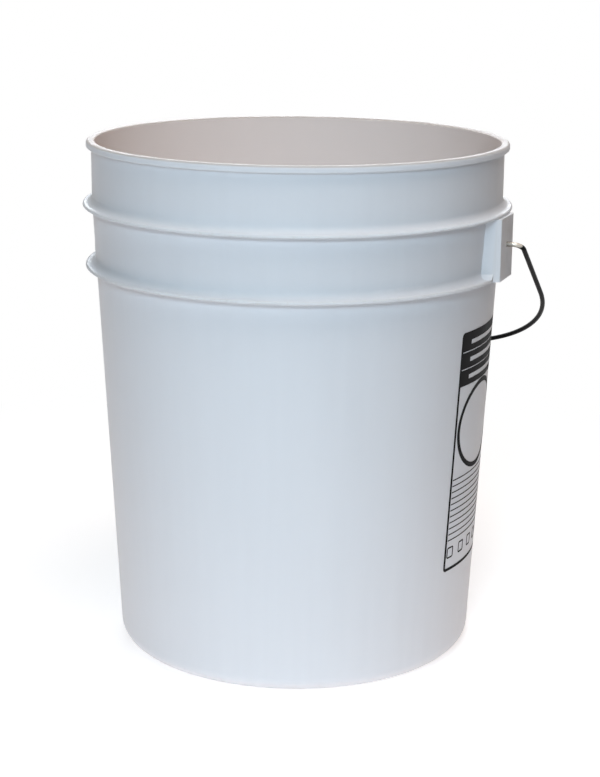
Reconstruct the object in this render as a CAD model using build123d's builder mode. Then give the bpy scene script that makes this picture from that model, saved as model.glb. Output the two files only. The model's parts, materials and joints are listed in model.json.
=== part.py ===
from build123d import *
from math import cos, hypot, radians, sin, tan
import os

# White moulded pail with a wire bail and a grip that turns on the wire.
# Millimetres. The origin is the centre of the foot, +Z is up, the bail turns about X and hangs at +Y.

# Pail wall and base
pail_height = 368.3
base_radius = 129.5         # outside of the wall, carried down to the floor
wall_taper = 0.0515         # growth of the radius per millimetre of height, up to ring 1
wall = 2.3
base_thickness = 2.6
base_corner = 11.8          # outside corner between the base and the wall
foot_width = 16.0           # flat and corner of the foot ring, measured in from the wall
panel_lift = 2.5            # how far the base panel stands clear of the floor
panel_slope = 3.0           # run of the slope from the foot ring up to the panel
gate_radius = 5.0           # stub left where the plastic was fed in, under the base
gate_height = 1.0

# Rim
rim_reach = 3.6             # how far the lip stands out from the neck
rim_height = 4.6
rim_root = 1.2              # hollow corner under the lip
rim_top_round = 2.2
rim_bottom_round = 0.8
rim_inner_round = 1.2

# Stiffening rings: drop of the top below the rim, reach out from the wall
ring_1_drop = 43.7
ring_1_reach = 6.6
ring_2_drop = 87.1
ring_2_reach = 7.5
ring_thickness = 2.1
ring_blend = 5.0            # hollow corner above the ring, where it grows out of the wall
ring_root = 0.8             # hollow corner below it
ring_top_round = 1.2
ring_bottom_round = 0.5

# Ears
ear_width = 31.8            # across the ear's flat face
ear_flare = 24.0            # degrees that each side leans out on its way to the wall
ear_proud = 1.9             # how far the ear's flat face stands out past ring 1
ear_wall = 2.5
ear_side_wall = 2.6
ear_corner = 1.0
ear_root = 4.0              # hollow corner between the ear's side and the middle of the wall
ear_foot = 3.5              # height and width of the splay where the ear's side meets ring 2
pocket_skin = 0.3           # thickening of the pail's wall behind the ear's pocket
pivot_drop = 19.3           # bail pivot below ring 1

# Bail wire
wire_diameter = 3.4
pivot_clearance = 0.4       # radial, in the ear's hole
bail_shift = 0.8            # the bail rests this far to the right, within its play in the ears
leg_gap = 8.2               # between the ear's face and the wire of the leg, with the bail in the middle
leg_bend = 7.0              # centreline radius where the leg turns in to the ear
hook_bend = 3.0             # centreline radius of the hook inside the ear
hook_length = 9.0
wire_chamfer = 0.4
hang_angle = 54.2           # bail's lean from straight down, where the grip meets the wall

# Grip
grip_length = 104.0
grip_radius = 11.0          # at the middle of its crown
grip_end_radius = 9.8
grip_round = 1.5
grip_clearance = 0.3        # radial, on the wire
grip_hub = 2.2              # wall of the hub round the wire
grip_shell = 2.2
grip_web = 1.8
grip_web_count = 4
grip_mid_wall = 4.0         # wall left between the pockets of the two ends
grip_rest_gap = 0.4         # between the grip and the pail's wall at rest
grip_run_out = 3.6          # straight wire past each end of the grip

# Levels, radii and the bail's place, from the sizes above
ring_1_top = pail_height - ring_1_drop
ring_2_top = pail_height - ring_2_drop
ring_1_bottom = ring_1_top - ring_thickness
ring_2_bottom = ring_2_top - ring_thickness


def outside_radius(level):
    """Outside radius of the wall: a cone up to the top of ring 1, then a straight neck."""
    return base_radius + wall_taper * min(level, ring_1_top)


neck_radius = outside_radius(ring_1_top)
ring_1_radius = neck_radius + ring_1_reach
ring_2_radius = outside_radius(ring_2_top) + ring_2_reach
rim_radius = neck_radius + rim_reach
rim_bottom = pail_height - rim_height
foot_radius = base_radius - foot_width
floor_level = panel_lift + base_thickness
ear_bottom = ring_2_bottom
ear_face = ring_1_radius + ear_proud
pocket_face = ear_face - ear_wall
pocket_top = ring_1_bottom - ear_wall
pivot_level = ring_1_bottom - pivot_drop

wire_radius = wire_diameter / 2
leg_offset = ear_face + leg_gap + wire_radius
hook_reach = (outside_radius(pivot_level) + pocket_skin + pocket_face) / 2
straight_half = grip_length / 2 + grip_run_out
bow_radius = leg_offset - straight_half
lean = radians(hang_angle)
grip_stand_off = (grip_radius + grip_rest_gap) * hypot(1, wall_taper)
bail_drop = (outside_radius(pivot_level) + grip_stand_off) / (sin(lean) + wall_taper * cos(lean))

bail_plane = Plane(origin=(bail_shift, 0, pivot_level), x_dir=(1, 0, 0), z_dir=(0, cos(lean), sin(lean)))
grip_centre = bail_plane.from_local_coords((0, bail_drop, 0))
bore_radius = wire_radius + grip_clearance


def ear_corners(face, inset=0.0):
    """Corners of one ear's section, from the pail's middle out to a face, with its sides drawn in."""
    spread = tan(radians(ear_flare))
    half = ear_width / 2 + (ear_face - face) * spread - inset / cos(radians(ear_flare))
    root = half + face * spread
    return [(0, -root), (face, -half), (face, half), (0, root)]


# Cutter for the ears: a pocket open at the bottom that follows the wall, and the hole for the wire
with BuildPart() as ear_pockets:
    for level in (ear_bottom, pocket_top):
        with BuildSketch(Plane.XY.offset(level)):
            Polygon(*ear_corners(pocket_face, ear_side_wall))
            Circle(outside_radius(level) + pocket_skin, mode=Mode.SUBTRACT)
    loft(ruled=True)
    with BuildSketch(Plane.YZ.offset(pocket_face - pocket_skin)):
        with Locations((0, pivot_level)):
            Circle(wire_radius + pivot_clearance)
    extrude(amount=ear_wall + 2 * pocket_skin)
    mirror(about=Plane.YZ)

# Pail body: the outside turned as a solid, the ears added and cored, then the inside taken out
with BuildPart() as pail_body:
    with BuildSketch(Plane.XZ) as outside:
        with BuildLine():
            Polyline(
                (0, panel_lift - gate_height),
                (gate_radius, panel_lift - gate_height),
                (gate_radius, panel_lift),
                (foot_radius - panel_slope, panel_lift),
                (foot_radius, 0),
                (base_radius, 0),
                (neck_radius, ring_1_top),
                (neck_radius, rim_bottom),
                (rim_radius, rim_bottom),
                (rim_radius, pail_height),
                (0, pail_height),
                close=True,
            )
        make_face()
        corners = [
            ((base_radius, 0), base_corner),
            ((neck_radius, rim_bottom), rim_root),
            ((rim_radius, rim_bottom), rim_bottom_round),
            ((rim_radius, pail_height), rim_top_round),
        ]
        # Each ring is a thin flange that grows out of the wall through a hollow corner
        for ring_top, ring_bottom, ring_radius in (
            (ring_1_top, ring_1_bottom, ring_1_radius),
            (ring_2_top, ring_2_bottom, ring_2_radius),
        ):
            ring_wall = outside_radius(ring_top)
            with BuildLine():
                Polyline(
                    (ring_wall - wall, ring_bottom),
                    (ring_radius, ring_bottom),
                    (ring_radius, ring_top),
                    (ring_wall - wall, ring_top),
                    close=True,
                )
            make_face()
            corners += [
                ((ring_wall, ring_top), ring_blend),
                ((ring_radius, ring_top), ring_top_round),
                ((ring_radius, ring_bottom), ring_bottom_round),
                ((outside_radius(ring_bottom), ring_bottom), ring_root),
            ]
        for corner, radius in corners:
            fillet(outside.vertices().sort_by_distance(corner)[0], radius)
    revolve(axis=Axis.Z)

    # The two ears stand between the rings
    with BuildSketch(Plane.XY.offset(ear_bottom)) as ears:
        Circle(outside_radius(ear_bottom) - wall / 2)
        Polygon(*ear_corners(ear_face))
        mirror(about=Plane.YZ)
        columns = ears.vertices().group_by(Axis.X)
        fillet(columns[1] + columns[2], ear_root)
        columns = ears.vertices().group_by(Axis.X)
        fillet(columns[0] + columns[-1], ear_corner)
    extrude(amount=ring_1_bottom - ear_bottom)

    # At their feet the ears' sides splay out on to ring 2
    for side in (1, -1):
        for level, splay in ((ring_2_top, ear_foot), (ring_2_top + ear_foot, 0)):
            with BuildSketch(Plane.XY.offset(level)):
                Polygon(*[(side * x, y) for x, y in ear_corners(ring_2_radius - ring_top_round, -splay)])
        loft(ruled=True)

    add(ear_pockets.part, mode=Mode.SUBTRACT)

    with BuildSketch(Plane.XZ) as inside:
        with BuildLine():
            Polyline(
                (0, floor_level),
                (foot_radius - panel_slope, floor_level),
                (foot_radius, base_thickness),
                (base_radius - wall, base_thickness),
                (neck_radius - wall, ring_1_top),
                (neck_radius - wall, pail_height),
                (0, pail_height),
                close=True,
            )
        make_face()
        fillet(inside.vertices().sort_by_distance((base_radius - wall, base_thickness))[0], base_corner - wall)
    revolve(axis=Axis.Z, mode=Mode.SUBTRACT)
    fillet(pail_body.edges().group_by(Axis.Z)[-1].sort_by(SortBy.RADIUS)[0], rim_inner_round)

# Bail: one wire from hook to hook, straight under the grip
with BuildPart() as bail_wire:
    with BuildLine(bail_plane) as wire_path:
        FilletPolyline(
            (hook_reach, hook_length),
            (hook_reach, 0),
            (leg_offset, 0),
            (leg_offset, bail_drop),
            (-leg_offset, bail_drop),
            (-leg_offset, 0),
            (-hook_reach, 0),
            (-hook_reach, hook_length),
            radius=[hook_bend, leg_bend, bow_radius, bow_radius, leg_bend, hook_bend],
        )
    with BuildSketch(Plane(origin=wire_path.line @ 0, z_dir=wire_path.line % 0)):
        Circle(wire_radius)
    sweep(path=wire_path.line)
    chamfer(bail_wire.faces().filter_by(GeomType.PLANE).edges(), wire_chamfer)

# Grip: a crowned sleeve, cored from both ends round a hub, with webs between hub and shell
with BuildPart() as bail_grip:
    with BuildSketch(bail_plane) as grip_section:
        with BuildLine():
            Polyline(
                (grip_length / 2, bail_drop + grip_end_radius),
                (grip_length / 2, bail_drop + bore_radius),
                (-grip_length / 2, bail_drop + bore_radius),
                (-grip_length / 2, bail_drop + grip_end_radius),
            )
            ThreePointArc(
                (-grip_length / 2, bail_drop + grip_end_radius),
                (0, bail_drop + grip_radius),
                (grip_length / 2, bail_drop + grip_end_radius),
            )
        make_face()
        fillet(grip_section.vertices().group_by(Axis.Y)[-1], grip_round)
    revolve(axis=Axis(grip_centre, (1, 0, 0)))
    for end in (1, -1):
        end_centre = grip_centre + Vector(end * grip_length / 2, 0, 0)
        with BuildSketch(Plane(origin=end_centre, z_dir=(end, 0, 0))):
            Circle(grip_end_radius - grip_shell)
            Circle(bore_radius + grip_hub, mode=Mode.SUBTRACT)
            with PolarLocations(0, grip_web_count):
                Rectangle(grip_radius, grip_web, align=(Align.MIN, Align.CENTER), mode=Mode.SUBTRACT)
        extrude(amount=(grip_mid_wall - grip_length) / 2, mode=Mode.SUBTRACT)

os.makedirs("parts", exist_ok=True)
pail_body.part.label = "pail_body"
export_step(pail_body.part, "parts/pail_body.step")
bail_wire.part.label = "bail_wire"
export_step(bail_wire.part, "parts/bail_wire.step")
bail_grip.part.label = "bail_grip"
export_step(bail_grip.part, "parts/bail_grip.step")
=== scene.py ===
import json
import logging
import math
from dataclasses import dataclass
from enum import Enum
from typing import Any, Union

import bpy
import numpy as np
from mathutils import Matrix, Vector


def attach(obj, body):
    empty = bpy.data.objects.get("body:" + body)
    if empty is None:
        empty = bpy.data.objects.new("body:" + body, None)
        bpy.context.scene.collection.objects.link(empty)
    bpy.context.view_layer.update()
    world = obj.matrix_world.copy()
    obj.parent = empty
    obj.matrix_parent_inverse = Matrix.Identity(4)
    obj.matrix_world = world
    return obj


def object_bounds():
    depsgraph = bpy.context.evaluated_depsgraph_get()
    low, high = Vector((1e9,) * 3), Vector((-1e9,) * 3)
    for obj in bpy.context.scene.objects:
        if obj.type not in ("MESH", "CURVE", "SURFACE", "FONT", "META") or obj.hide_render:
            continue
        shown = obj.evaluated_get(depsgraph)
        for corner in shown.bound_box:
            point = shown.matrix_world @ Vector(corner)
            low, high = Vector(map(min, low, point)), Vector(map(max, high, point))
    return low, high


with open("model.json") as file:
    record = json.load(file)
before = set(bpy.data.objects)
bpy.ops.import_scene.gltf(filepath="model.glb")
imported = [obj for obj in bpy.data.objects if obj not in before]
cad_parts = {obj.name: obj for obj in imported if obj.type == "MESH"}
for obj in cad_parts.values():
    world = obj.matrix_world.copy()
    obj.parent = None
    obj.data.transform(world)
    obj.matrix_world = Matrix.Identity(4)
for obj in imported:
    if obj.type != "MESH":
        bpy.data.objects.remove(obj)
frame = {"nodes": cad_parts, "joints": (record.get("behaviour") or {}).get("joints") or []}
cad_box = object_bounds()

# White moulded pail with a wire bail and a turning grip. The CAD nodes keep their shapes and get their
# finishes here, and the print on the wall is added as thin films of ink. Sizes are in millimetres, and MM
# turns them into the metres of the frame.

MM = 0.001
log = logging.getLogger("pail")

Colour = tuple[float, float, float, float]
Socket = bpy.types.NodeSocket
Tree = bpy.types.NodeTree
Shade = bpy.types.Material
Piece = bpy.types.Object
Span = tuple[float, float]                  # reading at which an effect starts, and at which it is full
Stroke = tuple[np.ndarray, float, bool]     # path of a printed line, its width, and whether it is a loop


class Body(str, Enum):
    """The bodies that a piece rides on or a joint moves."""

    PAIL = "pail"
    BAIL = "bail"


class Node(str, Enum):
    """The CAD nodes."""

    PAIL = "pail_body"
    WIRE = "bail_wire"
    GRIP = "bail_grip"


def linear(code: str) -> Colour:
    """Turns an sRGB hex colour into the linear values that the shaders take.

    Args:
        code: the colour as "#RRGGBB".

    Returns:
        Linear red, green, blue and an alpha of 1.
    """
    parts = np.array([int(code[i:i + 2], 16) for i in (1, 3, 5)]) / 255.0
    values = np.where(parts <= 0.04045, parts / 12.92, ((parts + 0.055) / 1.055) ** 2.4)
    return (float(values[0]), float(values[1]), float(values[2]), 1.0)


def per_metre(size_mm: float) -> float:
    """Texture scale at which one cell of a pattern is size_mm wide on Object coordinates."""
    return 1.0 / (size_mm * MM)


def add_node(tree: Tree, kind: str, inputs: Union[dict[Any, Any], None] = None, **settings: Any) -> Any:
    """Adds a shader node with its settings, values and links.

    Args:
        tree: the node tree that gets it.
        kind: Blender's name for the node's type.
        inputs: input name or number, to a value or to the output socket that feeds it.
        settings: the node's own options.

    Returns:
        The new node.
    """
    node = tree.nodes.new(kind)
    for option, value in settings.items():
        setattr(node, option, value)
    for place, value in (inputs or {}).items():
        if isinstance(value, Socket):
            tree.links.new(value, node.inputs[place])
        else:
            node.inputs[place].default_value = value
    return node


def new_material(name: str) -> tuple[Shade, Tree]:
    """Makes an empty node material.

    Args:
        name: what the material is.

    Returns:
        The material and its node tree.
    """
    material = bpy.data.materials.new(name)
    material.use_nodes = True
    material.node_tree.nodes.clear()
    return material, material.node_tree


def new_piece(name: str, points: np.ndarray, faces: np.ndarray) -> Piece:
    """Puts worked-out points and faces into a mesh object at the origin.

    Args:
        name: the piece's name.
        points: one row of x, y, z for each point, in metres.
        faces: one row of four point numbers for each face.

    Returns:
        The object, linked into the scene.
    """
    mesh = bpy.data.meshes.new(name)
    mesh.from_pydata(points.tolist(), [], faces.tolist())
    mesh.validate()
    mesh.update()
    piece = bpy.data.objects.new(name, mesh)
    bpy.context.scene.collection.objects.link(piece)
    return piece


def dress(node: Node, material: Shade) -> None:
    """Gives a CAD node its material.

    Args:
        node: the node.
        material: the material for all its faces.
    """
    slots = frame["nodes"][node.value].data.materials
    slots.clear()
    slots.append(material)
    log.info("dressed %s in %s", node.value, material.name)


@dataclass(frozen=True)
class Wall:
    """The outside of the pail's wall: a cone that grows by its taper up to a straight neck."""

    base_radius: float = 129.5
    taper: float = 0.0515
    neck_radius: float = 146.22
    height: float = 368.3


@dataclass(frozen=True)
class MouldedPolyethylene:
    """White high-density polyethylene, injection moulded in a steel mould.

    The eye gets a milky, slightly see-through white with a satin skin. The skin is not quite even: the
    plastic clouds a little, flow lines run along the draw of the mould, the surface has a fine orange peel,
    the wall sways slightly where it shrank, and nesting leaves fine scuffs along the draw.
    """

    name: str
    base: str = "#DEE3E8"
    clouded: str = "#DCE1E6"
    rubbed: str = "#CDCCC8"
    rubbed_share: float = 0.4    # how far the worst rubbed places go towards that colour
    roughness: float = 0.4
    rubbed_roughness: float = 0.62
    ior: float = 1.54
    specular: float = 0.1        # the fine mould texture breaks up most of the plastic's gloss
    milky: float = 0.18
    milky_depth_mm: float = 3.0
    cloud_mm: float = 85.0
    flow_mm: float = 9.0
    uneven: Span = (0.12, 0.42)
    scuff_mm: float = 2.4        # real scuffs are finer; at this width they still show
    scuffed: Span = (0.56, 0.68)
    draw_stretch: float = 0.03   # a drawn-out pattern reads this share of the level, so it runs up the wall
    patch_mm: float = 22.0
    patched: Span = (0.5, 0.75)
    peel_mm: float = 1.6
    peel_depth_mm: float = 0.01
    sway_mm: float = 70.0
    sway_depth_mm: float = 0.2

    def rubbing(self, tree: Tree, place: Socket) -> Socket:
        """Where the piece gets rubbed, from 0 to 1: here, in soft patches all over.

        Args:
            tree: the material's node tree.
            place: Object coordinates.

        Returns:
            The output that holds it.
        """
        patches = add_node(
            tree, "ShaderNodeTexNoise", {"Vector": place, "Scale": per_metre(self.patch_mm), "Detail": 3.0}
        ).outputs[0]
        start, full = self.patched
        return add_node(
            tree, "ShaderNodeMapRange", {0: patches, 1: start, 2: full}, interpolation_type="SMOOTHSTEP"
        ).outputs[0]

    def tint(self, tree: Tree, place: Socket, plain: Socket) -> Socket:
        """Colour of the unrubbed plastic, where it changes over the piece: here, it doesn't."""
        return plain

    def skin_normal(self, tree: Tree, place: Socket) -> Socket:
        """Normal of the moulded skin: a slow sway of the wall with fine orange peel on it.

        Args:
            tree: the material's node tree.
            place: Object coordinates.

        Returns:
            The output that holds the bumped normal.
        """
        normal: Union[Socket, None] = None
        for size, depth in ((self.sway_mm, self.sway_depth_mm), (self.peel_mm, self.peel_depth_mm)):
            height = add_node(
                tree, "ShaderNodeTexNoise", {"Vector": place, "Scale": per_metre(size), "Detail": 1.0}
            ).outputs[0]
            inputs = {"Strength": 1.0, "Distance": depth * MM, "Height": height}
            if normal is not None:
                inputs["Normal"] = normal
            normal = add_node(tree, "ShaderNodeBump", inputs).outputs[0]
        return normal

    def material(self) -> Shade:
        """Builds the node material.

        Returns:
            The material.
        """
        material, tree = new_material(self.name)
        place = add_node(tree, "ShaderNodeTexCoord").outputs["Object"]
        drawn = add_node(
            tree, "ShaderNodeMapping", {"Vector": place, "Scale": (1.0, 1.0, self.draw_stretch)}
        ).outputs[0]
        clouds = add_node(
            tree, "ShaderNodeTexNoise", {"Vector": place, "Scale": per_metre(self.cloud_mm), "Detail": 3.0}
        ).outputs[0]
        flow = add_node(
            tree, "ShaderNodeTexNoise", {"Vector": drawn, "Scale": per_metre(self.flow_mm), "Detail": 2.0}
        ).outputs[0]
        scuffs = add_node(
            tree, "ShaderNodeTexNoise", {"Vector": drawn, "Scale": per_metre(self.scuff_mm), "Detail": 2.0}
        ).outputs[0]

        # Clouds and flow lines give the plastic its faint unevenness
        uneven = add_node(tree, "ShaderNodeMath", {0: clouds, 1: flow}, operation="MULTIPLY").outputs[0]
        start, full = self.uneven
        share = add_node(tree, "ShaderNodeMapRange", {0: uneven, 1: start, 2: full}).outputs[0]
        plain = add_node(
            tree, "ShaderNodeMix",
            {0: share, 6: linear(self.base), 7: linear(self.clouded)}, data_type="RGBA",
        ).outputs[2]

        # Rubbed places are greyer and duller, and a few scuffs run through them
        rubbed = self.rubbing(tree, place)
        start, full = self.scuffed
        lines = add_node(tree, "ShaderNodeMapRange", {0: scuffs, 1: start, 2: full}).outputs[0]
        worn = add_node(
            tree, "ShaderNodeMath",
            {0: rubbed, 1: lines, 2: rubbed}, operation="MULTIPLY_ADD", use_clamp=True,
        ).outputs[0]
        grey = add_node(
            tree, "ShaderNodeMath", {0: worn, 1: self.rubbed_share}, operation="MULTIPLY"
        ).outputs[0]
        colour = add_node(
            tree, "ShaderNodeMix",
            {0: grey, 6: self.tint(tree, place, plain), 7: linear(self.rubbed)}, data_type="RGBA",
        ).outputs[2]
        gloss = add_node(
            tree, "ShaderNodeMapRange", {0: worn, 3: self.roughness, 4: self.rubbed_roughness}
        ).outputs[0]

        skin = add_node(
            tree, "ShaderNodeBsdfPrincipled",
            {
                "Base Color": colour,
                "Roughness": gloss,
                "IOR": self.ior,
                "Specular IOR Level": self.specular,
                "Subsurface Weight": self.milky,
                "Subsurface Radius": (1.0, 1.0, 1.0),
                "Subsurface Scale": self.milky_depth_mm * MM,
                "Normal": self.skin_normal(tree, place),
            },
        )
        add_node(tree, "ShaderNodeOutputMaterial", {"Surface": skin.outputs[0]})
        return material


@dataclass(frozen=True)
class NestingPailPolyethylene(MouldedPolyethylene):
    """The pail's own plastic.

    It is rubbed on the ring edges, the lip and the foot, where pails meet. The inside of the wall gets a
    painted warm glow that stands for light which has come through the plastic, and the top of the lip gets
    painted brown shade.
    """

    wall: Wall = Wall()
    edges: Span = (5.4, 7.0)         # rubbed: how far out from the wall
    lip_depth: float = 2.5           # rubbed: down from the top
    foot_depth: float = 9.0          # rubbed: up from the floor
    patch_least: float = 0.35        # how much of the rubbing is left between the patches
    # painted warm glow: the inside of the wall is coloured warmer to stand for light come through the
    # plastic
    painted_warm_glow: str = "#EEE7E4"
    inside_depths: Span = (1.0, 1.8)     # under the outside of the wall
    inside_levels: Span = (3.0, 14.0)    # above the floor
    # painted brown shade on the top of the lip
    lip_shade: str = "#A89C95"
    lip_shade_share: float = 0.5
    lip_shade_depths: Span = (1.4, 0.4)     # under the top of the lip

    def tint(self, tree: Tree, place: Socket, plain: Socket) -> Socket:
        """Colour of the unrubbed plastic, with painted light and shade: a painted warm glow past half of
        the wall's thickness, for light come through the plastic, and painted brown shade on the top of the
        lip.

        Args:
            tree: the material's node tree.
            place: Object coordinates.
            plain: the plastic's own colour.

        Returns:
            The output that holds it.
        """
        proud, level = self.stand_out(tree, place)
        depth_start, depth_full = self.inside_depths
        spans = ((proud, -depth_start, -depth_full), (level, *self.inside_levels))
        deep, high = (
            add_node(
                tree, "ShaderNodeMapRange", {0: reading, 1: start * MM, 2: full * MM},
                interpolation_type="SMOOTHSTEP",
            ).outputs[0]
            for reading, start, full in spans
        )
        share = add_node(tree, "ShaderNodeMath", {0: deep, 1: high}, operation="MULTIPLY").outputs[0]
        # painted warm glow on the inside of the wall, past half of its thickness and above the floor
        with_warm_glow = add_node(
            tree, "ShaderNodeMix", {0: share, 6: plain, 7: linear(self.painted_warm_glow)}, data_type="RGBA"
        ).outputs[2]
        start, full = ((self.wall.height - depth) * MM for depth in self.lip_shade_depths)
        # painted brown shade: the top of the lip is mixed towards a darker brown
        lip = add_node(
            tree, "ShaderNodeMapRange", {0: level, 1: start, 2: full, 4: self.lip_shade_share},
            interpolation_type="SMOOTHSTEP",
        ).outputs[0]
        return add_node(
            tree, "ShaderNodeMix", {0: lip, 6: with_warm_glow, 7: linear(self.lip_shade)}, data_type="RGBA"
        ).outputs[2]

    def stand_out(self, tree: Tree, place: Socket) -> tuple[Socket, Socket]:
        """How far a point stands out from the outside of the wall, and its level.

        Args:
            tree: the material's node tree.
            place: Object coordinates.

        Returns:
            The outputs that hold them, in metres.
        """
        level = add_node(tree, "ShaderNodeSeparateXYZ", {0: place}).outputs["Z"]
        flat = add_node(
            tree, "ShaderNodeVectorMath", {0: place, 1: (1.0, 1.0, 0.0)}, operation="MULTIPLY"
        ).outputs[0]
        radius = add_node(tree, "ShaderNodeVectorMath", {0: flat}, operation="LENGTH").outputs["Value"]
        wall = self.wall
        cone = add_node(
            tree, "ShaderNodeMath", {0: level, 1: wall.taper, 2: wall.base_radius * MM},
            operation="MULTIPLY_ADD",
        ).outputs[0]
        outside = add_node(
            tree, "ShaderNodeMath", {0: cone, 1: wall.neck_radius * MM}, operation="MINIMUM"
        ).outputs[0]
        proud = add_node(tree, "ShaderNodeMath", {0: radius, 1: outside}, operation="SUBTRACT").outputs[0]
        return proud, level

    def rubbing(self, tree: Tree, place: Socket) -> Socket:
        """Where the pail gets rubbed, from 0 to 1: far out from the wall, at the lip and at the foot.

        Args:
            tree: the material's node tree.
            place: Object coordinates.

        Returns:
            The output that holds it.
        """
        proud, level = self.stand_out(tree, place)
        spans = (
            (proud, *self.edges),
            (level, self.wall.height - self.lip_depth, self.wall.height),
            (level, self.foot_depth, 0.0),
        )
        where, *others = (
            add_node(
                tree, "ShaderNodeMapRange", {0: reading, 1: start * MM, 2: full * MM},
                interpolation_type="SMOOTHSTEP",
            ).outputs[0]
            for reading, start, full in spans
        )
        for other in others:
            where = add_node(tree, "ShaderNodeMath", {0: where, 1: other}, operation="MAXIMUM").outputs[0]
        patches = super().rubbing(tree, place)
        strength = add_node(tree, "ShaderNodeMapRange", {0: patches, 3: self.patch_least}).outputs[0]
        return add_node(tree, "ShaderNodeMath", {0: where, 1: strength}, operation="MULTIPLY").outputs[0]


@dataclass(frozen=True)
class EnamelledWire:
    """Drawn steel wire with a thin black enamel, worn to the steel where it turns in the ears.

    The eye gets a near black that is almost dull, and a short bright glint at each ear.
    """

    pivot: Vector
    name: str = "black_enamelled_steel_wire"
    enamel: str = "#08090A"
    dusty: str = "#101112"
    steel: str = "#B9B4AB"
    smooth: float = 0.3          # roughness between the grains of dust, and on them
    rough: float = 0.41
    specular: float = 0.05
    grain_mm: float = 1.2
    grained: Span = (0.3, 0.7)
    bare_radius: float = 1.5     # the pintle's surface is just past this from the pivot line
    bare_fade: float = 0.8

    def material(self) -> Shade:
        """Builds the node material.

        Returns:
            The material.
        """
        material, tree = new_material(self.name)
        place = add_node(tree, "ShaderNodeTexCoord").outputs["Object"]
        grain = add_node(
            tree, "ShaderNodeTexNoise", {"Vector": place, "Scale": per_metre(self.grain_mm), "Detail": 3.0}
        ).outputs[0]
        enamel = add_node(
            tree, "ShaderNodeMix",
            {0: grain, 6: linear(self.enamel), 7: linear(self.dusty)}, data_type="RGBA",
        ).outputs[2]

        # The enamel is gone on the short pintle along the pivot line, with a ragged edge
        from_pivot = add_node(
            tree, "ShaderNodeVectorMath", {0: place, 1: self.pivot}, operation="SUBTRACT"
        ).outputs[0]
        square = add_node(
            tree, "ShaderNodeVectorMath", {0: from_pivot, 1: (0.0, 1.0, 1.0)}, operation="MULTIPLY"
        ).outputs[0]
        away = add_node(tree, "ShaderNodeVectorMath", {0: square}, operation="LENGTH").outputs["Value"]
        edge = add_node(
            tree, "ShaderNodeMath", {0: grain, 1: self.bare_fade * MM, 2: away}, operation="MULTIPLY_ADD"
        ).outputs[0]
        last_bare = self.bare_radius + self.bare_fade / 2
        bare = add_node(
            tree, "ShaderNodeMapRange",
            {0: edge, 1: last_bare * MM, 2: (last_bare + self.bare_fade) * MM, 3: 1.0, 4: 0.0},
        ).outputs[0]
        colour = add_node(
            tree, "ShaderNodeMix", {0: bare, 6: enamel, 7: linear(self.steel)}, data_type="RGBA"
        ).outputs[2]
        start, full = self.grained
        gloss = add_node(
            tree, "ShaderNodeMapRange", {0: grain, 1: start, 2: full, 3: self.smooth, 4: self.rough}
        ).outputs[0]
        skin = add_node(
            tree, "ShaderNodeBsdfPrincipled",
            {
                "Base Color": colour,
                "Roughness": gloss,
                "Metallic": bare,
                "Specular IOR Level": self.specular,
            },
        )
        add_node(tree, "ShaderNodeOutputMaterial", {"Surface": skin.outputs[0]})
        return material


@dataclass(frozen=True)
class ScreenInk:
    """Black solvent ink, screen printed on the wall.

    The eye gets a flat near black, a little thin in places, with pinholes from the screen.
    """

    name: str = "black_screen_ink"
    ink: str = "#0D0D0E"
    thin: str = "#1F1F20"
    roughness: float = 0.5
    thin_roughness: float = 0.62
    specular: float = 0.04
    blotch_mm: float = 6.0
    blotched: Span = (0.3, 0.7)
    pinhole_mm: float = 1.1      # the screen's own mesh is finer; at this spacing the pinholes still show
    pinholes: Span = (0.16, 0.04)

    def material(self) -> Shade:
        """Builds the node material.

        Returns:
            The material.
        """
        material, tree = new_material(self.name)
        place = add_node(tree, "ShaderNodeTexCoord").outputs["Object"]
        blotches = add_node(
            tree, "ShaderNodeTexNoise", {"Vector": place, "Scale": per_metre(self.blotch_mm), "Detail": 4.0}
        ).outputs[0]
        cells = add_node(
            tree, "ShaderNodeTexVoronoi", {"Vector": place, "Scale": per_metre(self.pinhole_mm)}
        ).outputs["Distance"]
        start, full = self.pinholes
        holes = add_node(tree, "ShaderNodeMapRange", {0: cells, 1: start, 2: full}).outputs[0]
        share = add_node(
            tree, "ShaderNodeMath", {0: holes, 1: blotches, 2: blotches},
            operation="MULTIPLY_ADD", use_clamp=True,
        ).outputs[0]
        colour = add_node(
            tree, "ShaderNodeMix", {0: share, 6: linear(self.ink), 7: linear(self.thin)}, data_type="RGBA"
        ).outputs[2]
        start, full = self.blotched
        gloss = add_node(
            tree, "ShaderNodeMapRange",
            {0: blotches, 1: start, 2: full, 3: self.roughness, 4: self.thin_roughness},
        ).outputs[0]
        skin = add_node(
            tree, "ShaderNodeBsdfPrincipled",
            {"Base Color": colour, "Roughness": gloss, "Specular IOR Level": self.specular},
        )
        add_node(tree, "ShaderNodeOutputMaterial", {"Surface": skin.outputs[0]})
        return material


@dataclass(frozen=True)
class Pail:
    """The moulded pail."""

    finish: MouldedPolyethylene = NestingPailPolyethylene("hdpe_white_moulded")

    def dress(self) -> None:
        """Gives the pail its plastic."""
        dress(Node.PAIL, self.finish.material())


@dataclass(frozen=True)
class Bail:
    """The wire handle and the grip that turns on it."""

    grip_finish: MouldedPolyethylene = MouldedPolyethylene(
        "hdpe_white_grip", base="#E2E4E6", clouded="#DADDE0", rubbed="#D6D6D4",
        patch_mm=9.0, cloud_mm=30.0, sway_depth_mm=0.05,
    )

    def dress(self) -> None:
        """Gives the wire its enamel, bare at the pivot, and the grip its plastic."""
        swing = next(joint for joint in frame["joints"] if joint["child"] == Body.BAIL.value)
        dress(Node.WIRE, EnamelledWire(Vector(swing["pos_m"])).material())
        dress(Node.GRIP, self.grip_finish.material())


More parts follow.
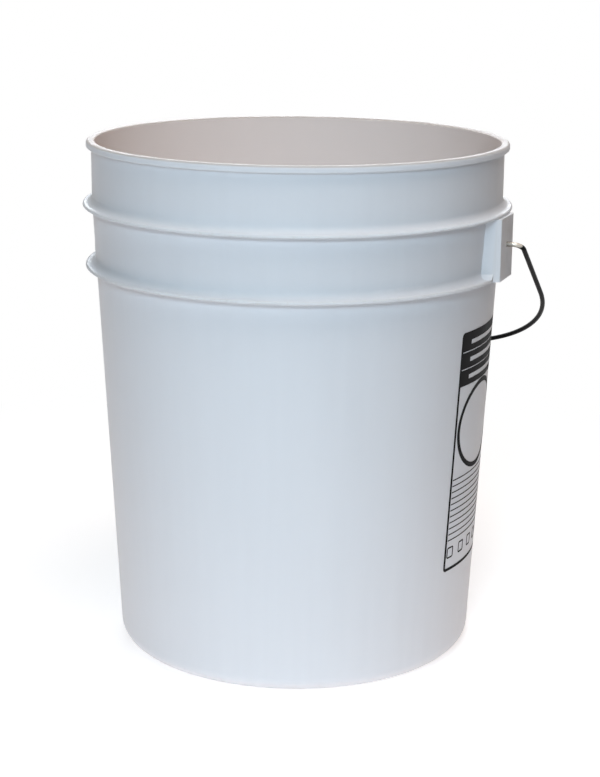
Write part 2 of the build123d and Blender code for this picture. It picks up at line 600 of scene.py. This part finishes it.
@dataclass(frozen=True)
class ContentsPanel:
    """A plain panel to write on, printed on the wall under the right-hand ear.

    It is a black frame with three slotted bars across its top, an oval field for a stamp, ruled lines and a
    row of boxes to tick at its foot. A point of it is given by its run round the wall from the panel's
    middle line and by its level from the panel's middle, both in millimetres, and every mark in it is a
    stroke: a path with a width.
    """

    wall: Wall = Wall()
    middle_level: float = 159.2
    width: float = 81.0
    height: float = 174.5
    corner: float = 2.0
    frame_stroke: float = 2.2
    bar_count: int = 3
    bar_height: float = 11.6
    bar_gap: float = 0.8
    slot_height: float = 3.2
    slot_start: float = 11.0     # from the bar's left end
    slot_end: float = 5.0        # from its right end
    field_level: float = 15.6
    field_width: float = 74.0
    field_height: float = 65.0
    field_stroke: float = 3.5
    rule_level: float = -19.0
    rule_count: int = 11
    rule_pitch: float = 4.5
    rule_stroke: float = 0.8
    rule_length: float = 75.0
    box_level: float = -73.5
    box_count: int = 5
    box_size: float = 8.5
    box_stroke: float = 1.1
    film: float = 0.06           # how far the ink stands on the wall
    root: float = 0.02           # how far its edge is let into the wall, so that no gap shows
    step: float = 2.0            # longest run of a path between two points
    corner_points: int = 9
    oval_points: int = 96
    finish: ScreenInk = ScreenInk()

    def on_wall(self, run: np.ndarray, level: np.ndarray, lift: np.ndarray) -> np.ndarray:
        """Places points on the wall's cone.

        The radius is the cone's at that level, and the angle is the run over that radius, so the panel
        keeps its width from top to foot. The lift is added square to the wall.

        Args:
            run: distance round the wall, positive towards the back.
            level: height above the floor.
            lift: height above the wall's surface.

        Returns:
            Points in metres, with x, y, z in the last axis.
        """
        taper = self.wall.taper
        cone = self.wall.base_radius + taper * level
        angle = run / cone
        slant = math.hypot(1.0, taper)
        radius = cone + lift / slant
        height = level - lift * taper / slant
        return np.stack([radius * np.cos(angle), radius * np.sin(angle), height], axis=-1) * MM

    def fine_path(self, corners: np.ndarray, closed: bool) -> np.ndarray:
        """Divides a path of straight runs into short steps, by length along it.

        Args:
            corners: one row of run and level for each corner.
            closed: whether the path comes back to its first corner.

        Returns:
            One row of run and level for each point; a closed path doesn't repeat its first point.
        """
        line = np.vstack([corners, corners[:1]]) if closed else corners
        sides = np.hypot(*np.diff(line, axis=0).T)
        counts = np.ceil(sides / self.step).astype(int)
        start = np.repeat(line[:-1], counts, axis=0)
        side = np.repeat(np.diff(line, axis=0), counts, axis=0)
        before = np.repeat(np.cumsum(counts) - counts, counts)
        share = (np.arange(counts.sum()) - before) / np.repeat(counts, counts)
        points = start + side * share[:, None]
        return points if closed else np.vstack([points, line[-1:]])

    def rounded_box(self, width: float, height: float, corner: float) -> np.ndarray:
        """Corner points of a box whose corners are quarter circles, counted anticlockwise.

        Args:
            width: across.
            height: up.
            corner: radius of the corners.

        Returns:
            One row of run and level for each point, about the box's own middle.
        """
        quarter = np.radians(np.linspace(0.0, 90.0, self.corner_points))
        turns = quarter[None, :] + np.radians([[0.0], [90.0], [180.0], [270.0]])
        middles = np.array([[1, 1], [-1, 1], [-1, -1], [1, -1]]) * [width / 2 - corner, height / 2 - corner]
        arcs = middles[:, None, :] + corner * np.stack([np.cos(turns), np.sin(turns)], axis=-1)
        return arcs.reshape(-1, 2)

    def oval(self, width: float, height: float) -> np.ndarray:
        """Points of an oval: half the width times each turn's cosine, half the height times its sine."""
        turns = np.linspace(0.0, 2.0 * np.pi, self.oval_points, endpoint=False)
        return np.stack([np.cos(turns), np.sin(turns)], axis=-1) * [width / 2, height / 2]

    def stroke(self, path: np.ndarray, width: float, closed: bool) -> tuple[np.ndarray, np.ndarray]:
        """A film of ink: a flat four-cornered section carried along a path on the wall.

        Each path point is moved half the width to both sides, square to the path, and both of these to the
        film's root and to its top. That gives the section's corners, and an open path gets an end face.

        Args:
            path: one row of run and level for each point.
            width: the stroke's width.
            closed: whether the path is a loop.

        Returns:
            The points, in metres, and the faces.
        """
        ahead = np.roll(path, -1, axis=0) if closed else np.vstack([path[1:], path[-1:]])
        behind = np.roll(path, 1, axis=0) if closed else np.vstack([path[:1], path[:-1]])
        along = ahead - behind
        along /= np.hypot(*along.T)[:, None]
        aside = np.stack([-along[:, 1], along[:, 0]], axis=-1) * width / 2
        edges = np.stack([path + aside, path + aside, path - aside, path - aside], axis=1)
        lift = np.broadcast_to([-self.root, self.film, self.film, -self.root], edges.shape[:2])
        points = self.on_wall(edges[..., 0], edges[..., 1], lift).reshape(-1, 3)

        count, sides = lift.shape
        section = np.arange(sides)
        row, corner = np.meshgrid(np.arange(count if closed else count - 1), section, indexing="ij")
        beside = (corner + 1) % sides
        here, there = row * sides, (row + 1) % count * sides
        rounds = [here + corner, here + beside, there + beside, there + corner]
        faces = np.stack(rounds, axis=-1).reshape(-1, len(rounds))
        if not closed:
            faces = np.vstack([faces, section[::-1], section + sides * (count - 1)])
        return points, faces

    def piece(self, name: str, strokes: list[Stroke], ink: Shade) -> None:
        """Makes one piece of several strokes, rides it on the pail and inks it.

        Args:
            name: the piece's name.
            strokes: the strokes, with their paths about the panel's middle.
            ink: the material.
        """
        points: list[np.ndarray] = []
        faces: list[np.ndarray] = []
        for corners, width, closed in strokes:
            path = self.fine_path(np.asarray(corners, dtype=float), closed) + [0.0, self.middle_level]
            new_points, new_faces = self.stroke(path, width, closed)
            faces.append(new_faces + sum(map(len, points)))
            points.append(new_points)
        made = new_piece(name, np.vstack(points), np.vstack(faces))
        made.data.materials.append(ink)
        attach(made, Body.PAIL.value)
        log.info("printed %s with %d strokes", name, len(strokes))

    def bar(self, middle: float) -> list[Stroke]:
        """Strokes of one header bar: a strip over its slot, one under it, and a block at each end of it.

        Args:
            middle: level of the bar's middle.

        Returns:
            The strokes, with their paths about the panel's middle.
        """
        reach = self.width / 2 - self.frame_stroke
        strip = (self.bar_height - self.slot_height) / 2
        offset = (self.slot_height + strip) / 2
        rows = (
            (-reach, reach, middle + offset, strip),
            (-reach, reach, middle - offset, strip),
            (-reach, self.slot_start - reach, middle, self.slot_height),
            (reach - self.slot_end, reach, middle, self.slot_height),
        )
        return [(np.array([[end, at], [start, at]]), width, False) for start, end, at, width in rows]

    def build(self) -> None:
        """Prints the frame, the bars, the oval field, the ruled lines and the boxes."""
        ink = self.finish.material()
        stroke = self.frame_stroke
        outline = self.rounded_box(self.width - stroke, self.height - stroke, self.corner)
        self.piece("panel_frame", [(outline, stroke, True)], ink)

        first = self.height / 2 - self.frame_stroke - self.bar_height / 2
        middles = first - (self.bar_height + self.bar_gap) * np.arange(self.bar_count)
        self.piece("panel_bars", [strip for middle in middles for strip in self.bar(middle)], ink)

        stroke = self.field_stroke
        field = self.oval(self.field_width - stroke, self.field_height - stroke)
        self.piece("panel_field", [(field + [0.0, self.field_level], stroke, True)], ink)

        half = self.rule_length / 2
        levels = self.rule_level - self.rule_pitch * np.arange(self.rule_count)
        rules = [(np.array([[half, at], [-half, at]]), self.rule_stroke, False) for at in levels]
        self.piece("panel_rules", rules, ink)

        stroke = self.box_stroke
        places = np.linspace(self.box_size / 2 - half, half - self.box_size / 2, self.box_count)
        box = self.rounded_box(self.box_size - stroke, self.box_size - stroke, stroke)
        boxes = [(box + [at, self.box_level], stroke, True) for at in places]
        self.piece("panel_boxes", boxes, ink)


@dataclass(frozen=True)
class StudioLight:
    """One soft round lamp that faces the middle of the pail.

    Its azimuth is measured from the camera's own side, positive to the right. Distance and size are in
    metres, and power is in watts.
    """

    name: str
    azimuth: float
    elevation: float
    distance: float
    size: float
    power: float
    colour: str

    def place(self, centre: Vector, camera_azimuth: float) -> None:
        """Adds the lamp to the scene.

        Args:
            centre: the point that it faces.
            camera_azimuth: the camera's azimuth, in degrees.
        """
        around = math.radians(camera_azimuth + self.azimuth)
        up = math.radians(self.elevation)
        away = Vector((math.sin(around) * math.cos(up), -math.cos(around) * math.cos(up), math.sin(up)))
        lamp = bpy.data.lights.new(self.name, "AREA")
        lamp.shape = "DISK"
        lamp.size = self.size
        lamp.energy = self.power
        lamp.color = linear(self.colour)[:3]
        holder = bpy.data.objects.new(self.name, lamp)
        holder.location = centre + away * self.distance
        holder.rotation_mode = "QUATERNION"
        holder.rotation_quaternion = (-away).to_track_quat("-Z", "Y")
        holder.visible_camera = False
        bpy.context.scene.collection.objects.link(holder)


@dataclass(frozen=True)
class PhotoCamera:
    """The photograph's camera, found from the outline of the pail in it.

    Angles are in degrees, distance and height in metres, and the sensor in millimetres.
    """

    azimuth: float = 20.677
    distance: float = 1.28356
    height: float = 0.519985
    pitch: float = 14.638
    roll: float = 0.477
    pan: float = 0.129
    focal_px: float = 1803.6
    long_side_px: float = 777.0
    sensor: float = 36.0
    clip_near: float = 0.05
    clip_far: float = 100.0

    def place(self) -> None:
        """Adds the camera and makes it the scene's."""
        data = bpy.data.cameras.new("photo_camera")
        data.sensor_fit = "AUTO"
        data.sensor_width = self.sensor
        data.lens = self.focal_px * self.sensor / self.long_side_px
        data.clip_start = self.clip_near
        data.clip_end = self.clip_far
        camera = bpy.data.objects.new("photo_camera", data)
        around = math.radians(self.azimuth)
        spot = Vector((self.distance * math.sin(around), -self.distance * math.cos(around), self.height))
        heading = Matrix.Rotation(math.radians(self.azimuth - self.pan), 4, "Z")
        tilt = Matrix.Rotation(math.radians(90.0 - self.pitch), 4, "X")
        turn = Matrix.Rotation(math.radians(self.roll), 4, "Z")
        camera.matrix_world = Matrix.Translation(spot) @ heading @ tilt @ turn
        bpy.context.scene.collection.objects.link(camera)
        bpy.context.scene.camera = camera


@dataclass(frozen=True)
class PaperSweep:
    """Matt white paper under and behind the pail. Distances are in metres.

    The eye gets plain white that keeps a soft shadow where the pail stands. Light bounces up at the pail
    off a sheet of it, which lies mostly in front and to the left, and off a darker room floor past that.
    """

    name: str = "white_paper_sweep"
    paper: str = "#EBEBEB"
    room: str = "#7A7A7A"
    sheet: Span = (0.5, 0.8)     # from the sheet's middle: the end of the sheet, and the bare room floor
    sheet_middle: tuple[float, float, float] = (-0.17, -0.17, 0.0)
    pail_middle: tuple[float, float, float] = (0.0, 0.0, 0.0)
    view: Span = (0.3, 0.7)      # from the pail's middle: the end of the shadowed paper, and plain white
    glow: float = 0.45           # what the camera sees of the paper, over the light that falls on it
    white: float = 1.0           # strength that shows as white
    bounce: float = 0.48         # light that the sheet throws up at the pail
    bounce_colour: str = "#FFECE8"

    def seen(self, tree: Tree) -> Socket:
        """Tells what is seen, directly or in gloss or glass, from light that bounces between surfaces.

        Args:
            tree: the node tree that asks.

        Returns:
            An output that is 1 for what is seen and 0 for bounced light.
        """
        path = add_node(tree, "ShaderNodeLightPath").outputs
        seen = path["Is Camera Ray"]
        for kind in ("Is Glossy Ray", "Is Transmission Ray"):
            seen = add_node(
                tree, "ShaderNodeMath", {0: seen, 1: path[kind]}, operation="MAXIMUM"
            ).outputs[0]
        return seen

    def material(self) -> Shade:
        """Builds the node material.

        Returns:
            The material.
        """
        material, tree = new_material(self.name)
        place = add_node(tree, "ShaderNodeTexCoord").outputs["Object"]
        from_sheet, from_pail = (
            add_node(
                tree, "ShaderNodeVectorMath", {0: place, 1: middle}, operation="DISTANCE"
            ).outputs["Value"]
            for middle in (self.sheet_middle, self.pail_middle)
        )
        past_sheet, past_view = (
            add_node(
                tree, "ShaderNodeMapRange", {0: away, 1: start, 2: full}, interpolation_type="SMOOTHSTEP"
            ).outputs[0]
            for away, start, full in ((from_sheet, *self.sheet), (from_pail, *self.view))
        )
        paper, room = (
            add_node(tree, "ShaderNodeBsdfDiffuse", {"Color": linear(code)}).outputs[0]
            for code in (self.paper, self.room)
        )
        glow, white = (
            add_node(tree, "ShaderNodeEmission", {"Strength": strength}).outputs[0]
            for strength in (self.glow, self.white)
        )
        lit = add_node(tree, "ShaderNodeAddShader", {0: glow, 1: paper}).outputs[0]
        shown = add_node(tree, "ShaderNodeMixShader", {0: past_view, 1: lit, 2: white}).outputs[0]
        warm = add_node(
            tree, "ShaderNodeEmission", {"Color": linear(self.bounce_colour), "Strength": self.bounce}
        ).outputs[0]
        sheet = add_node(tree, "ShaderNodeAddShader", {0: warm, 1: paper}).outputs[0]
        bounced = add_node(tree, "ShaderNodeMixShader", {0: past_sheet, 1: sheet, 2: room}).outputs[0]
        mixed = add_node(tree, "ShaderNodeMixShader", {0: self.seen(tree), 1: bounced, 2: shown}).outputs[0]
        add_node(tree, "ShaderNodeOutputMaterial", {"Surface": mixed})
        return material


@dataclass(frozen=True)
class Studio:
    """The floor, the surroundings, the lamps and the camera."""

    lights: tuple[StudioLight, ...] = (
        StudioLight(
            "key", azimuth=-6.0, elevation=27.0, distance=2.2,
            size=0.5, power=19.0, colour="#DAF0FF",
        ),
        StudioLight(
            "ceiling_front", azimuth=12.0, elevation=71.0, distance=1.8,
            size=0.9, power=13.8, colour="#FFF5EE",
        ),
        StudioLight(
            "warm_side", azimuth=84.0, elevation=44.0, distance=2.2,
            size=1.4, power=2.6, colour="#FFB47C",
        ),
        StudioLight(
            "floor_bounce", azimuth=-8.0, elevation=-11.0, distance=0.85,
            size=0.4, power=1.4, colour="#DFF2FF",
        ),
        StudioLight(
            "back_left", azimuth=-125.0, elevation=35.0, distance=2.2,
            size=1.2, power=2.4, colour="#FFE4CC",
        ),
        StudioLight(
            "back", azimuth=180.0, elevation=24.0, distance=2.2,
            size=1.4, power=25.0, colour="#F4F9FF",
        ),
    )
    camera: PhotoCamera = PhotoCamera()
    sweep: PaperSweep = PaperSweep()
    floor_reach: float = 14.0
    surround: float = 0.04       # light from all round the room
    surround_colour: str = "#FFD4AA"
    backdrop_colour: str = "#FFFFFF"

    def build(self) -> None:
        """Puts up the floor, the surroundings, the lamps and the camera."""
        corners = np.array([[-1.0, -1.0, 0.0], [1.0, -1.0, 0.0], [1.0, 1.0, 0.0], [-1.0, 1.0, 0.0]])
        floor = new_piece("floor", corners * self.floor_reach, np.array([[0, 1, 2, 3]]))
        floor.data.materials.append(self.sweep.material())

        world = bpy.data.worlds.new("studio")
        world.use_nodes = True
        tree = world.node_tree
        tree.nodes.clear()
        shades = ((self.surround_colour, self.surround), (self.backdrop_colour, self.sweep.white))
        dim, white = (
            add_node(tree, "ShaderNodeBackground", {"Color": linear(code), "Strength": strength}).outputs[0]
            for code, strength in shades
        )
        seen = self.sweep.seen(tree)
        mixed = add_node(tree, "ShaderNodeMixShader", {0: seen, 1: dim, 2: white}).outputs[0]
        add_node(tree, "ShaderNodeOutputWorld", {"Surface": mixed})
        bpy.context.scene.world = world

        low, high = cad_box
        for light in self.lights:
            light.place((low + high) / 2, self.camera.azimuth)
        self.camera.place()
        bpy.context.scene.view_settings.view_transform = "Standard"


def main() -> None:
    """Dresses the pail and the bail, prints the panel and sets up the studio."""
    Pail().dress()
    Bail().dress()
    ContentsPanel().build()
    Studio().build()


if __name__ == "__main__":
    logging.basicConfig(level=logging.INFO, format="%(name)s: %(message)s")
    main()
